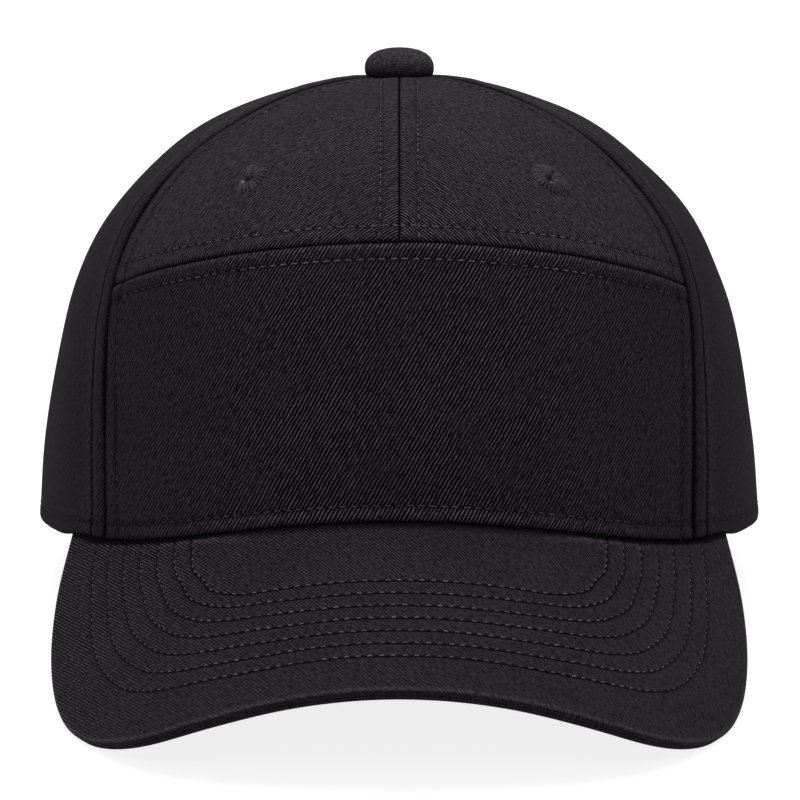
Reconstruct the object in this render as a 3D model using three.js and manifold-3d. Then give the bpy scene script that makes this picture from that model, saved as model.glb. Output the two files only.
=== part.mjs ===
// A seven-panel cap in black cotton twill: a wide front panel, two upper panels
// above an arched seam, two side and two back panels, a curved peak, a sweatband,
// two eyelets and a button. Millimetres. Inside the cap's own group, z = 0 is the
// plane of the hem, -Y is the front and the origin is the middle of the hem.

import * as THREE from 'three';
import { mergeVertices } from 'three/addons/utils/BufferGeometryUtils.js';
import Module from 'manifold-3d';

const wasm = await Module();
wasm.setup();

const DEGREE = Math.PI / 180;

// Cloth and gaps
const clothWall = 1.6;
const seamGap = 0.3;

// Black cloth as it looks in soft light, lighter where it faces up
const colours = {
  frontTwill: 0x211e21,
  upperTwill: 0x2e2b2e,
  sideTwill: 0x252225,
  peakTwill: 0x282528,
  bandTape: 0x1c1a1c,
  thread: 0x353235,
  buttonTwill: 0x3a373a,
};
const clothRoughness = 0.9;
const threadRoughness = 0.7;

// Crown: half width, front and rear reach at rising heights
const crownLevels = [
  { height: 0, halfWidth: 88, front: 101, rear: 101 },
  { height: 20, halfWidth: 86.5, front: 100.5, rear: 102.5 },
  { height: 40, halfWidth: 83.3, front: 98.5, rear: 101 },
  { height: 58, halfWidth: 78.7, front: 95, rear: 96 },
  { height: 74, halfWidth: 70.8, front: 88, rear: 87 },
  { height: 88, halfWidth: 57.9, front: 74, rear: 73.5 },
  { height: 98, halfWidth: 43, front: 54.5, rear: 55 },
  { height: 105, halfWidth: 23.8, front: 29, rear: 30 },
  { height: 108, halfWidth: 0, front: 0, rear: 0 },
];
const cornerFullness = 0.02;

// Seams, as angles from the front centre in degrees, or heights
const frontSeamAtHem = 50.6;
const frontSeamSpread = 11.5;
const frontSeamSwingEnds = 0.6;
const backSeamAtHem = 117;
const backSeamSpread = 5;
const archHeight = 73.1;
const archEndHeight = 60.6;
const archEndAngle = 57;
const crownTopLevel = 0.985;

// Peak: a sheet bent round a line that runs forward and down from the hem, with a
// bend that grows tighter towards the front
const peakSlope = 28 * DEGREE;
const peakBendRadius = 104;
const peakBendTightening = 0.2;
const peakThickness = 3.2;
const peakEdgeThickness = 1.8;
const peakRootHeight = 7.4;
const peakRootAngle = 60;
const hemPastPeakAngle = 1.5;
const hemSettleAngle = 7;
const peakOutline = [
  { across: 0, forward: 63.4 },
  { across: 24, forward: 62.6 },
  { across: 44, forward: 60 },
  { across: 61, forward: 54.7 },
  { across: 74, forward: 45.4 },
  { across: 83.6, forward: 33 },
  { across: 89.2, forward: 18.4 },
  { across: 91.4, forward: 0 },
  { across: 90, forward: -20 },
  { across: 85.8, forward: -41 },
];

// Sweatband
const bandHeight = 30;
const bandThickness = 1.4;
const bandRise = 0.8;

// Button and its post
const buttonShape = [
  { radius: 4, rise: -0.1 },
  { radius: 7.3, rise: -0.3 },
  { radius: 8.1, rise: 0.5 },
  { radius: 8.4, rise: 1.4 },
  { radius: 8.2, rise: 2.4 },
  { radius: 7.7, rise: 3.4 },
  { radius: 6.7, rise: 4.4 },
  { radius: 5, rise: 5.2 },
  { radius: 2.6, rise: 5.8 },
  { radius: 0, rise: 6 },
];
const postRadius = 1.5;
const washerRadius = 4.5;
const washerThickness = 0.8;

// Eyelets
const eyeletAngle = 35.8;
const eyeletLevel = 0.611;
const eyeletOuterRadius = 4;
const eyeletBoreRadius = 1.1;
const eyeletBarrelRadius = 2.1;
const eyeletShoulderRadius = 3.3;
const eyeletCrestRadius = 2.4;
const eyeletRise = 0.8;
const eyeletBackRise = 0.5;
const eyeletBackGap = 0.45;

// The cap standing by itself: its peak's corners and its rear hem touch the floor,
// where the cloth is flattened by a few tenths of a millimetre
const restTilt = 10.1 * DEGREE;
const restLift = 17.3;
const restShift = 26.16;

// Rows of the crown, with about the length of cloth between two whole rows
const archRow = 1;
const topRow = 2;
const rowLength = 60;

// Mesh steps
const hemToArchRows = 7;
const archToTopRows = 10;
const panelColumns = 10;
const sideColumns = 14;

function interpolate(before, from, to, after, part) {
  const linear = to - before;
  const square = 2 * before - 5 * from + 4 * to - after;
  const cubic = 3 * from - before - 3 * to + after;
  return from + 0.5 * part * (linear + part * (square + part * cubic));
}

// The crown's sizes at a level from 0 at the hem to 1 at the top
function crownSize(name, level) {
  const last = crownLevels.length - 1;
  const place = Math.min(Math.max(level, 0), 1) * last;
  const step = Math.min(Math.floor(place), last - 1);
  const mirror = name === 'height' ? 1 : -1;
  const value = (index) => {
    if (index < 0) {
      return 2 * crownLevels[0][name] - crownLevels[1][name];
    }
    return index > last ? mirror * crownLevels[last - 1][name] : crownLevels[index][name];
  };
  return interpolate(value(step - 1), value(step), value(step + 1), value(step + 2), place - step);
}

function levelAtHeight(height) {
  let low = 0;
  let high = 1;
  for (let turn = 0; turn < 40; turn += 1) {
    const middle = (low + high) / 2;
    if (crownSize('height', middle) < height) {
      low = middle;
    } else {
      high = middle;
    }
  }
  return low;
}

// A point on the crown's outer face; angle in degrees from the front centre
function crownSurface(angle, level) {
  const turn = angle * DEGREE;
  const full = 1 + cornerFullness * Math.sin(2 * turn) ** 2;
  const across = crownSize('halfWidth', level) * Math.sin(turn) * full;
  const reach = Math.cos(turn) > 0 ? crownSize('front', level) : crownSize('rear', level);
  return new THREE.Vector3(across, -reach * Math.cos(turn) * full, crownSize('height', level));
}

function crownNormal(angle, level) {
  const small = 0.002;
  const below = Math.max(level - small, 0);
  const above = Math.min(level + small, 0.998);
  const around = crownSurface(angle + 1, level).sub(crownSurface(angle - 1, level));
  const upward = crownSurface(angle, above).sub(crownSurface(angle, below));
  return around.cross(upward).normalize();
}

function crownPoint(angle, level, inset) {
  return crownSurface(angle, level).addScaledVector(crownNormal(angle, level), -inset);
}

function smoothStep(part) {
  return part * part * (3 - 2 * part);
}

const archLevel = levelAtHeight(archHeight);
const archEndLevel = levelAtHeight(archEndHeight);

function archLevelAt(angle) {
  const part = Math.min(Math.abs(angle) / archEndAngle, 1);
  return archLevel - (archLevel - archEndLevel) * part * part;
}

function frontSeamAngle(level) {
  return frontSeamAtHem + frontSeamSpread * smoothStep(Math.min(level / frontSeamSwingEnds, 1));
}

function backSeamAngle(level) {
  return backSeamAtHem + backSeamSpread * level;
}

// The peak's middle sheet: across is measured round the bend from the centre line,
// forward is measured down the slope from the root, lift is square to the sheet
const peakForward = new THREE.Vector3(0, -Math.cos(peakSlope), -Math.sin(peakSlope));
const peakUp = new THREE.Vector3(0, -Math.sin(peakSlope), Math.cos(peakSlope));
const peakOrigin = new THREE.Vector3(0, -crownLevels[0].front, peakRootHeight);

function peakBend(forward) {
  return peakBendRadius - peakBendTightening * forward;
}

function peakPoint(across, forward, lift) {
  const bend = peakBend(forward);
  const turn = across / bend;
  const point = peakOrigin.clone().addScaledVector(peakForward, forward);
  point.x += (bend + lift) * Math.sin(turn);
  return point.addScaledVector(peakUp, (bend + lift) * Math.cos(turn) - bend);
}

// The place on the peak's sheet, or a lift above it, that lies at x and y in plan
function peakPlace(x, y, lift) {
  const run = peakOrigin.y - y;
  let forward = run / Math.cos(peakSlope);
  for (let turn = 0; turn < 20; turn += 1) {
    const bend = peakBend(forward);
    const rise = Math.sqrt((bend + lift) ** 2 - x * x) - bend;
    forward = (run - rise * Math.sin(peakSlope)) / Math.cos(peakSlope);
  }
  const bend = peakBend(forward);
  const across = bend * Math.asin(x / (bend + lift));
  return { across, forward, height: peakPoint(across, forward, lift).z };
}

// The hem follows the top of the peak in front, settles past the peak's ends, and
// lies level behind
function hemHeight(angle, inset) {
  const beside = Math.min(Math.abs(angle), peakRootAngle + hemPastPeakAngle);
  const edge = crownPoint(beside, levelAtHeight(peakRootHeight), inset);
  const onPeak = peakPlace(edge.x, edge.y, peakThickness / 2).height + seamGap;
  const past = Math.min((Math.abs(angle) - beside) / hemSettleAngle, 1);
  return Math.max(onPeak * (1 - smoothStep(past)), 0);
}

// Rows of the crown: 0 at the hem, 1 at the arch, 2 at the top
function crownLevelAtRow(angle, row, inset) {
  const hem = levelAtHeight(hemHeight(angle, inset));
  const arch = archLevelAt(angle);
  const lowerPart = Math.min(row, archRow);
  return hem + (arch - hem) * lowerPart + (crownTopLevel - arch) * (row - lowerPart);
}

// A closed sheet between an outer and an inner face; place(u, v, depth) has u to the
// right and v upwards seen from outside, and depth 0 on the outer face, 1 on the inner
function makeSheet(columnStops, rowStops, place) {
  const columns = columnStops.length;
  const rows = rowStops.length;
  const positions = [];
  for (const depth of [0, 1]) {
    for (const v of rowStops) {
      for (const u of columnStops) {
        positions.push(...place(u, v, depth).toArray());
      }
    }
  }
  const index = [];
  const at = (column, row, side) => (side * rows + row) * columns + column;
  const quad = (a, b, c, d) => index.push(a, b, c, a, c, d);
  for (let row = 0; row < rows - 1; row += 1) {
    for (let column = 0; column < columns - 1; column += 1) {
      quad(at(column, row, 0), at(column + 1, row, 0), at(column + 1, row + 1, 0), at(column, row + 1, 0));
      quad(at(column, row, 1), at(column, row + 1, 1), at(column + 1, row + 1, 1), at(column + 1, row, 1));
    }
  }
  for (let column = 0; column < columns - 1; column += 1) {
    const top = rows - 1;
    quad(at(column, 0, 0), at(column, 0, 1), at(column + 1, 0, 1), at(column + 1, 0, 0));
    quad(at(column, top, 0), at(column + 1, top, 0), at(column + 1, top, 1), at(column, top, 1));
  }
  for (let row = 0; row < rows - 1; row += 1) {
    const end = columns - 1;
    quad(at(0, row, 0), at(0, row + 1, 0), at(0, row + 1, 1), at(0, row, 1));
    quad(at(end, row, 0), at(end, row, 1), at(end, row + 1, 1), at(end, row + 1, 0));
  }
  const geometry = new THREE.BufferGeometry();
  geometry.setAttribute('position', new THREE.Float32BufferAttribute(positions, 3));
  geometry.setIndex(index);
  return geometry;
}

function evenStops(from, to, steps) {
  return Array.from({ length: steps + 1 }, (unused, step) => from + ((to - from) * step) / steps);
}

function toSolid(geometry) {
  const bare = geometry.index ? geometry.clone() : mergeVertices(geometry.clone());
  bare.deleteAttribute('normal');
  bare.deleteAttribute('uv');
  const merged = mergeVertices(bare, 1e-4);
  const vertProperties = new Float32Array(merged.attributes.position.array);
  const triVerts = new Uint32Array(merged.index.array);
  return new wasm.Manifold(new wasm.Mesh({ numProp: 3, vertProperties, triVerts }));
}

function toGeometry(solid) {
  const mesh = solid.getMesh();
  const geometry = new THREE.BufferGeometry();
  geometry.setAttribute('position', new THREE.BufferAttribute(mesh.vertProperties, 3));
  geometry.setIndex(new THREE.BufferAttribute(mesh.triVerts, 1));
  return geometry;
}

const cap = new THREE.Group();
cap.rotation.x = -restTilt;
cap.position.set(0, restShift, restLift);
cap.updateMatrix();

// What the floor flattens: everything below it, seen from the cap
function standOnFloor(geometry) {
  const size = 400;
  const ground = new THREE.BoxGeometry(size, size, size);
  ground.translate(0, 0, -size / 2);
  ground.applyMatrix4(cap.matrix.clone().invert());
  return toGeometry(toSolid(geometry).subtract(toSolid(ground)));
}

function addPiece(name, geometry, color, roughness) {
  const material = new THREE.MeshStandardMaterial({ color, roughness, metalness: 0 });
  const mesh = new THREE.Mesh(geometry, material);
  mesh.name = name;
  cap.add(mesh);
  return mesh;
}

// Edge of a panel beside a seam: half the gap back from the seam's angle
function besideSeam(seamAngle, level, side) {
  const middle = crownSurface(seamAngle, level);
  const radius = Math.hypot(middle.x, middle.y);
  return seamAngle + (side * seamGap) / 2 / radius / DEGREE;
}

// A crown panel between two seams, given as functions of the level, and two rows;
// it keeps half the gap back from the arch where it starts or ends there
function makePanel(startSeam, endSeam, rowStops, columns) {
  const halfGap = seamGap / 2 / rowLength;
  const first = rowStops[0] === archRow ? archRow + halfGap : 0;
  const last = rowStops[rowStops.length - 1] === archRow ? archRow - halfGap : topRow;
  const stops = rowStops.map((row) => Math.min(Math.max(row, first), last));
  return makeSheet(evenStops(0, 1, columns), stops, (u, row, depth) => {
    const inset = clothWall * depth;
    const middleAngle = startSeam(0.5) + (endSeam(0.5) - startSeam(0.5)) * u;
    let level = crownLevelAtRow(middleAngle, row, inset);
    let angle = middleAngle;
    for (let turn = 0; turn < 6; turn += 1) {
      const start = besideSeam(startSeam(level), level, 1);
      const end = besideSeam(endSeam(level), level, -1);
      angle = start + (end - start) * u;
      level = crownLevelAtRow(angle, row, inset);
    }
    return crownPoint(angle, level, inset);
  });
}

const frontSeam = { right: frontSeamAngle, left: (level) => -frontSeamAngle(level) };
const centreSeam = () => 0;
const lowerRows = evenStops(0, archRow, hemToArchRows);
const upperRows = evenStops(archRow, topRow, archToTopRows);
const allRows = [...lowerRows, ...upperRows.slice(1)];

// Front panel, one piece from side seam to side seam, under the arch
const frontPanel = makePanel(frontSeam.left, frontSeam.right, lowerRows, 2 * panelColumns);
addPiece('front_panel', frontPanel, colours.frontTwill, clothRoughness);

// Eyelet: a ring of thread on both faces of the cloth, joined through the hole
const eyeletHoleRadius = eyeletBarrelRadius + seamGap;
const eyeletBack = -clothWall - eyeletBackGap;
const eyeletProfile = [
  { radius: eyeletBoreRadius, rise: eyeletBack - eyeletBackRise },
  { radius: eyeletCrestRadius, rise: eyeletBack - eyeletBackRise },
  { radius: eyeletShoulderRadius, rise: eyeletBack },
  { radius: eyeletBarrelRadius, rise: eyeletBack },
  { radius: eyeletBarrelRadius, rise: seamGap },
  { radius: eyeletOuterRadius, rise: seamGap },
  { radius: eyeletShoulderRadius, rise: seamGap + eyeletRise },
  { radius: eyeletCrestRadius, rise: seamGap + eyeletRise },
  { radius: eyeletBoreRadius, rise: seamGap },
];

function eyeletPlace(side) {
  const frame = new THREE.Object3D();
  const normal = crownNormal(side * eyeletAngle, eyeletLevel);
  frame.position.copy(crownSurface(side * eyeletAngle, eyeletLevel));
  frame.quaternion.setFromUnitVectors(new THREE.Vector3(0, 1, 0), normal);
  return frame;
}

for (const [side, word] of [[-1, 'left'], [1, 'right']]) {
  const seams = side < 0 ? [frontSeam.left, centreSeam] : [centreSeam, frontSeam.right];
  const panel = makePanel(seams[0], seams[1], upperRows, panelColumns);
  const place = eyeletPlace(side);
  place.updateMatrix();
  const hole = new THREE.CylinderGeometry(eyeletHoleRadius, eyeletHoleRadius, 12, 16);
  hole.applyMatrix4(place.matrix);
  const pierced = toGeometry(toSolid(panel).subtract(toSolid(hole)));
  addPiece(`upper_panel_${word}`, pierced, colours.upperTwill, clothRoughness);

  const outline = eyeletProfile.map((row) => new THREE.Vector2(row.radius, row.rise));
  const ring = new THREE.LatheGeometry([...outline, outline[0].clone()], 16);
  const eyelet = addPiece(`eyelet_${word}`, ring, colours.thread, threadRoughness);
  eyelet.position.copy(place.position);
  eyelet.quaternion.copy(place.quaternion);
}

// Side and back panels, from hem to top; the back ones meet at the rear seam
const rearSeam = () => 180;
for (const [side, word] of [[-1, 'left'], [1, 'right']]) {
  const mirrored = (seam) => (level) => side * seam(level);
  const between = (near, far) => (side > 0 ? [near, far] : [mirrored(far), mirrored(near)]);
  const sidePair = between(frontSeamAngle, backSeamAngle);
  const sidePanel = makePanel(sidePair[0], sidePair[1], allRows, sideColumns);
  addPiece(`side_panel_${word}`, sidePanel, colours.sideTwill, clothRoughness);

  const backPair = between(backSeamAngle, rearSeam);
  const backPanel = makePanel(backPair[0], backPair[1], allRows, panelColumns);
  addPiece(`back_panel_${word}`, standOnFloor(backPanel), colours.sideTwill, clothRoughness);
}

// Sweatband: a closed ring of tape inside the hem
const bandInset = clothWall + seamGap;
const bandSection = [
  [bandInset, 0],
  [bandInset, 0.5],
  [bandInset, 1],
  [bandInset + bandThickness, 1],
  [bandInset + bandThickness, 0.5],
  [bandInset + bandThickness, 0],
];
const bandSteps = 48;
const bandPositions = [];
const bandIndex = [];
for (let step = 0; step < bandSteps; step += 1) {
  const angle = (360 * step) / bandSteps;
  const signed = angle > 180 ? angle - 360 : angle;
  for (const [inset, part] of bandSection) {
    const low = hemHeight(signed, inset) + bandRise;
    const level = levelAtHeight(low + (bandHeight - low) * part);
    bandPositions.push(...crownPoint(signed, level, inset).toArray());
  }
  const next = (step + 1) % bandSteps;
  for (let corner = 0; corner < bandSection.length; corner += 1) {
    const over = (corner + 1) % bandSection.length;
    const a = step * bandSection.length + corner;
    const b = next * bandSection.length + corner;
    const c = next * bandSection.length + over;
    const d = step * bandSection.length + over;
    bandIndex.push(a, b, c, a, c, d);
  }
}
const bandGeometry = new THREE.BufferGeometry();
bandGeometry.setAttribute('position', new THREE.Float32BufferAttribute(bandPositions, 3));
bandGeometry.setIndex(bandIndex);
addPiece('sweatband', bandGeometry, colours.bandTape, clothRoughness);

// Peak: from under the hem to the rounded outline, thinner at its outer edge
const outlineCurve = new THREE.CatmullRomCurve3(
  [
    ...peakOutline.slice(1).reverse().map((row) => new THREE.Vector3(-row.across, row.forward, 0)),
    ...peakOutline.map((row) => new THREE.Vector3(row.across, row.forward, 0)),
  ],
  false,
  'centripetal',
);

function peakRoot(angle) {
  const inner = crownPoint(angle, levelAtHeight(hemHeight(angle, clothWall)), clothWall);
  return peakPlace(inner.x, inner.y, 0);
}

const peakColumns = 28;
const peakRows = [0, 0.03, 0.2, 0.4, 0.6, 0.8, 1];
const peakSheet = makeSheet(evenStops(0, 1, peakColumns), peakRows, (u, v, depth) => {
  const edge = outlineCurve.getPointAt(u);
  const root = peakRoot(peakRootAngle * (2 * u - 1));
  const across = edge.x + (root.across - edge.x) * v;
  const forward = edge.y + (root.forward - edge.y) * v;
  const thickness = v === 0 ? peakEdgeThickness : peakThickness;
  return peakPoint(across, forward, thickness * (0.5 - depth));
});
addPiece('peak', standOnFloor(peakSheet), colours.peakTwill, clothRoughness);

// Button: a flattened dome on a post, held by a washer inside the crown
const crownTop = crownLevels[crownLevels.length - 1].height;
const washerTop = -clothWall - 2 * seamGap;
const buttonProfile = [
  { radius: 0, rise: washerTop - washerThickness },
  { radius: washerRadius, rise: washerTop - washerThickness },
  { radius: washerRadius, rise: washerTop },
  { radius: postRadius, rise: washerTop },
  { radius: postRadius, rise: 0 },
  ...buttonShape,
];
const buttonOutline = buttonProfile.map((row) => new THREE.Vector2(row.radius, row.rise));
const buttonGeometry = new THREE.LatheGeometry(buttonOutline, 24);
buttonGeometry.rotateX(Math.PI / 2);
const button = addPiece('button', buttonGeometry, colours.buttonTwill, clothRoughness);
button.position.z = crownTop + seamGap;

const model = new THREE.Group();
model.add(cap);

export default model;
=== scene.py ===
import math
from collections import namedtuple

import bpy
import numpy as np
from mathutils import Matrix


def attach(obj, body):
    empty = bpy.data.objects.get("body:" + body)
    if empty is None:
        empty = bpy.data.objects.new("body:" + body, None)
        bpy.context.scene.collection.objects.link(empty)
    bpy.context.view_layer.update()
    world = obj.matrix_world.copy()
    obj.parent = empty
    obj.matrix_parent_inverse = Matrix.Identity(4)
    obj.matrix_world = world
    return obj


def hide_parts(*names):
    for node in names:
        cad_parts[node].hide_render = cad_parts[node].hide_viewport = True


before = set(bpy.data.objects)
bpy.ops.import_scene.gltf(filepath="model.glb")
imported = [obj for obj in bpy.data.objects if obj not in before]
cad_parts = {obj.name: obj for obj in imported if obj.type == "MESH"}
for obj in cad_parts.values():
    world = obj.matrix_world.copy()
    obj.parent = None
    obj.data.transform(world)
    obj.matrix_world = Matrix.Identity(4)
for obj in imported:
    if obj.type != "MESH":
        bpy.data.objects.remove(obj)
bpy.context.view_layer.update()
scene = bpy.context.scene

# The cap is drawn in millimetres in its own frame: z = 0 is the plane of the hem, -y is the front and the
# origin is the middle of the hem. Angles round the crown are in degrees from the middle of the front.


# Front panel: one wide piece of stiffened black twill from side seam to side seam, between the peak and the
# arched seam. Its edges are turned in and topstitched, and its hem is sewn through to the sweatband.

CROWN_HEIGHT = (0, 20, 40, 58, 74, 88, 98, 105, 108)
CROWN_HALF_WIDTH = (88, 86.5, 83.3, 78.7, 70.8, 57.9, 43, 23.8, 0)
CROWN_FRONT = (101, 100.5, 98.5, 95, 88, 74, 54.5, 29, 0)
CROWN_REAR = (101, 102.5, 101, 96, 87, 73.5, 55, 30, 0)
CORNER_FULLNESS = 0.02
CLOTH_WALL = 1.6


def smooth_step(part):
    part = np.clip(part, 0, 1)
    return part * part * (3 - 2 * part)


def hump(away, width):
    """1 at no distance, falling smoothly towards 0 over about twice the width."""
    return np.exp(-((away / width) ** 2))


def fade_aside(aside, start, fall, least, most=1):
    """Falls with the square of the way aside, between two limits."""
    return np.clip(start - fall * aside**2, least, most)


def unit(vectors):
    return vectors / np.linalg.norm(vectors, axis=-1, keepdims=True)


def spacings(points, axis=0):
    return np.linalg.norm(np.diff(points, axis=axis), axis=-1)


def run_along(points):
    """How far along their line the points lie."""
    return np.concatenate([[0], np.cumsum(spacings(points))])


def along_line(at, run, line):
    """The line's values at these distances along it."""
    return np.stack([np.interp(at, run, line[:, axis]) for axis in range(line.shape[1])], -1)


def full_turn(count):
    return 2 * math.pi * np.arange(count) / count


def right_and_upward(out):
    """The two ways on a face whose normal is `out`."""
    right = unit(np.cross((0, 0, 1), out))
    return right, np.cross(out, right)


def crown_size(row, level, past_top=-1):
    """A size of the crown at a level from 0 at the hem to 1 at the button."""
    line = np.array([2 * row[0] - row[1], *row, past_top * row[-2]], float)
    place = np.clip(level, 0, 1) * (len(row) - 1)
    step = np.minimum(np.asarray(place).astype(int), len(row) - 2)
    part = place - step
    before, start, end, after = (line[step + turn] for turn in range(4))
    bend = 2 * before - 5 * start + 4 * end - after
    twist = 3 * (start - end) + after - before
    return start + 0.5 * part * (end - before + part * (bend + part * twist))


def level_at(height):
    levels = np.linspace(0, 1, 1001)
    return np.interp(height, crown_size(CROWN_HEIGHT, levels, 1), levels)


def crown_surface(angle, level):
    """Points of the crown's outer face."""
    turn = np.radians(angle)
    full = 1 + CORNER_FULLNESS * np.sin(2 * turn) ** 2
    reach = np.where(np.cos(turn) > 0, crown_size(CROWN_FRONT, level), crown_size(CROWN_REAR, level))
    x = crown_size(CROWN_HALF_WIDTH, level) * np.sin(turn) * full
    height = crown_size(CROWN_HEIGHT, level, 1) + 0 * x
    return np.stack([x, -reach * np.cos(turn) * full, height], -1)


def crown_normal(angle, level):
    small = 0.002
    around = crown_surface(angle + 1, level) - crown_surface(angle - 1, level)
    above = np.minimum(level + small, 0.998)
    below = np.maximum(level - small, 0)
    return unit(np.cross(around, crown_surface(angle, above) - crown_surface(angle, below)))


def crown_inside(angle, level, inset):
    """Points behind the crown's outer face."""
    return crown_surface(angle, level) - np.asarray(inset)[..., None] * crown_normal(angle, level)


ARCH_HEIGHT = 73.1
ARCH_END_HEIGHT = 60.6
ARCH_END_ANGLE = 57
ARCH_RUNS_ON = 1.07


def arch_level(angle, inset=0):
    """The arched seam over the front panel: highest in the middle, lower towards the side seams."""
    part = np.minimum(np.abs(angle) / ARCH_END_ANGLE, ARCH_RUNS_ON)
    return level_at(ARCH_HEIGHT) - (level_at(ARCH_HEIGHT) - level_at(ARCH_END_HEIGHT)) * part * part


SEAM_ANGLE = 50.6
SEAM_SWING = 11.5
SEAM_SWINGS_BELOW = 0.6


def front_seam(level):
    """The seam between the front and the side panels; it swings outwards as it climbs."""
    return SEAM_ANGLE + SEAM_SWING * smooth_step(level / SEAM_SWINGS_BELOW)


def other_side(seam):
    return lambda level: -seam(level)


PEAK_SLOPE = math.radians(28)
PEAK_BEND = 104
PEAK_TIGHTENING = 0.2
PEAK_THICKNESS = 3.2
PEAK_ROOT_HEIGHT = 7.4
PEAK_ROOT_ANGLE = 60


def peak_point(across, forward, lift):
    """Points of the peak's bent sheet: across it, forward from its root, and lifted square to it."""
    bend = PEAK_BEND - PEAK_TIGHTENING * forward
    fall = (bend + lift) * np.cos(across / bend) - bend
    x = (bend + lift) * np.sin(across / bend)
    y = -CROWN_FRONT[0] - forward * math.cos(PEAK_SLOPE) - fall * math.sin(PEAK_SLOPE)
    z = PEAK_ROOT_HEIGHT - forward * math.sin(PEAK_SLOPE) + fall * math.cos(PEAK_SLOPE)
    return np.stack([x, y, z], -1)


def peak_place(x, y, lift):
    """Across and forward on the peak's sheet, lifted or not, where it has this x and y."""
    run = -CROWN_FRONT[0] - y
    forward = run / math.cos(PEAK_SLOPE)
    for _ in range(20):
        bend = PEAK_BEND - PEAK_TIGHTENING * forward
        rise = np.sqrt((bend + lift) ** 2 - x * x) - bend
        forward = (run - rise * math.sin(PEAK_SLOPE)) / math.cos(PEAK_SLOPE)
    bend = PEAK_BEND - PEAK_TIGHTENING * forward
    return bend * np.arcsin(x / (bend + lift)), forward


HEM_GAP = 0.15
HEM_SETTLES_FROM = 53
HEM_SETTLES_OVER = 13


def hem_level(angle, inset=0):
    """The hem lies on the peak in front, covers its ends in one smooth line, and is level behind."""
    size = np.abs(angle)
    beside = np.minimum(size, PEAK_ROOT_ANGLE + 2)
    edge = crown_inside(beside, level_at(PEAK_ROOT_HEIGHT), inset)
    across, forward = peak_place(edge[..., 0], edge[..., 1], PEAK_THICKNESS / 2)
    on_peak = peak_point(across, forward, PEAK_THICKNESS / 2)[..., 2] + HEM_GAP
    past = (size - HEM_SETTLES_FROM) / HEM_SETTLES_OVER
    return level_at(np.maximum(on_peak * (1 - smooth_step(past)), 0))


# How cloth lies beside an edge: it rolls down into the seam over `roll`, to a depth, stands proud by `pad`
# over the folded allowance, and is drawn in by `dip` under the topstitching. Painted shade makes it black
# over
# `dark` beside the seam, and a painted highlight makes it paler by `lit` at `lit_at`. Its thread has a tone
# and
# lies in a crease: the first two numbers of `crease` are the painted shade in the crease on the seam's side
# and on the far side, and the third is its width.
Edge = namedtuple("Edge", "roll depth pad stitch_at dip dark lit lit_at thread crease")
SIDE_EDGE = Edge(
    roll=0.9, depth=1.1, pad=0.16, stitch_at=5, dip=0.2, dark=1.1, lit=0.1, lit_at=1.6,
    thread=0.95, crease=(0.45, 0.2, 0.32),
)
GORE_EDGE = SIDE_EDGE._replace(dark=0.22, lit=0.15, lit_at=1.2, thread=1.15, crease=(0.4, 0.1, 0.32))
UNDER_ARCH_EDGE = SIDE_EDGE._replace(
    roll=0.6, depth=0.8, pad=0.22, stitch_at=4.6, dark=0.4, lit=1, lit_at=1,
    thread=1.35, crease=(0.35, 0.6, 0.32),
)
HEM_EDGE = SIDE_EDGE._replace(roll=0.8, depth=0.6, pad=0.12, stitch_at=3.7, dip=0.15, dark=0.7, thread=0.6)
FRONT_HEM_EDGE = HEM_EDGE._replace(lit=0.85, lit_at=2.2, thread=0.75)
DEEPEST = 1.25
STITCH_DIP_WIDTH = 0.4
PUCKER = 0.07
PUCKER_LENGTH = 6
PUCKER_WIDTH = 4
SWELL = 0.16
SWELL_LENGTH = 34
THREAD_FADES_AT = 66
# Painted shade: how black the cloth is painted in the seam.
SEAM_PAINTED_SHADE = 0.97
CREASE_ASIDE = 1.25
DIMPLE = 1.1
DIMPLE_WIDTH = 10
BULGE = 0.05
BULGE_AT = 15
BULGE_WIDTH = 6
BUTTON_REACH = 8
BUTTON_SHADE = 0.85
BUTTON_SHADE_WIDTH = 1.2
CLOTH_STEP = 1.7
EDGE_STOPS = np.array([
    0, 0.04, 0.16, 0.36, 0.64, 1, 1.5, 2.2, 2.9, 3.4, 3.7, 4, 4.4, 4.7, 5, 5.3,
    5.8, 6.2, 6.5, 6.8, 7.1, 7.4, 7.8, 8.3,
])


def cloth_stops(near, far, count):
    """Stops from edge to edge, close together beside both: one lies at length * share + offset."""
    middle = np.linspace(0, 1, count + 2)[1:-1]
    share = np.concatenate([0 * near, middle, 0 * far + 1])
    offset = np.concatenate([near, near[-1] * (1 - middle) - far[-1] * middle, -far[::-1]])
    return share, offset


def squeeze(length):
    """How far the stops beside the edges close up where the cloth is narrow."""
    return np.minimum(1, length / (2 * EDGE_STOPS[-1] + 1))


def unevenness(x, y, length, seed):
    """Smooth swells of about -1 to 1, roughly a length apart."""
    draw = np.random.default_rng(seed)
    total = 0
    for _ in range(6):
        way, phase = draw.uniform(0, 2 * math.pi, 2)
        stretch = draw.uniform(0.7, 1.5) * length
        total = total + np.sin((x * math.cos(way) + y * math.sin(way)) * 2 * math.pi / stretch + phase)
    return total / 3


START, END, LOW, HIGH = range(4)
PANEL_STEPS = 33
ROW_STEPS = 400


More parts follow.
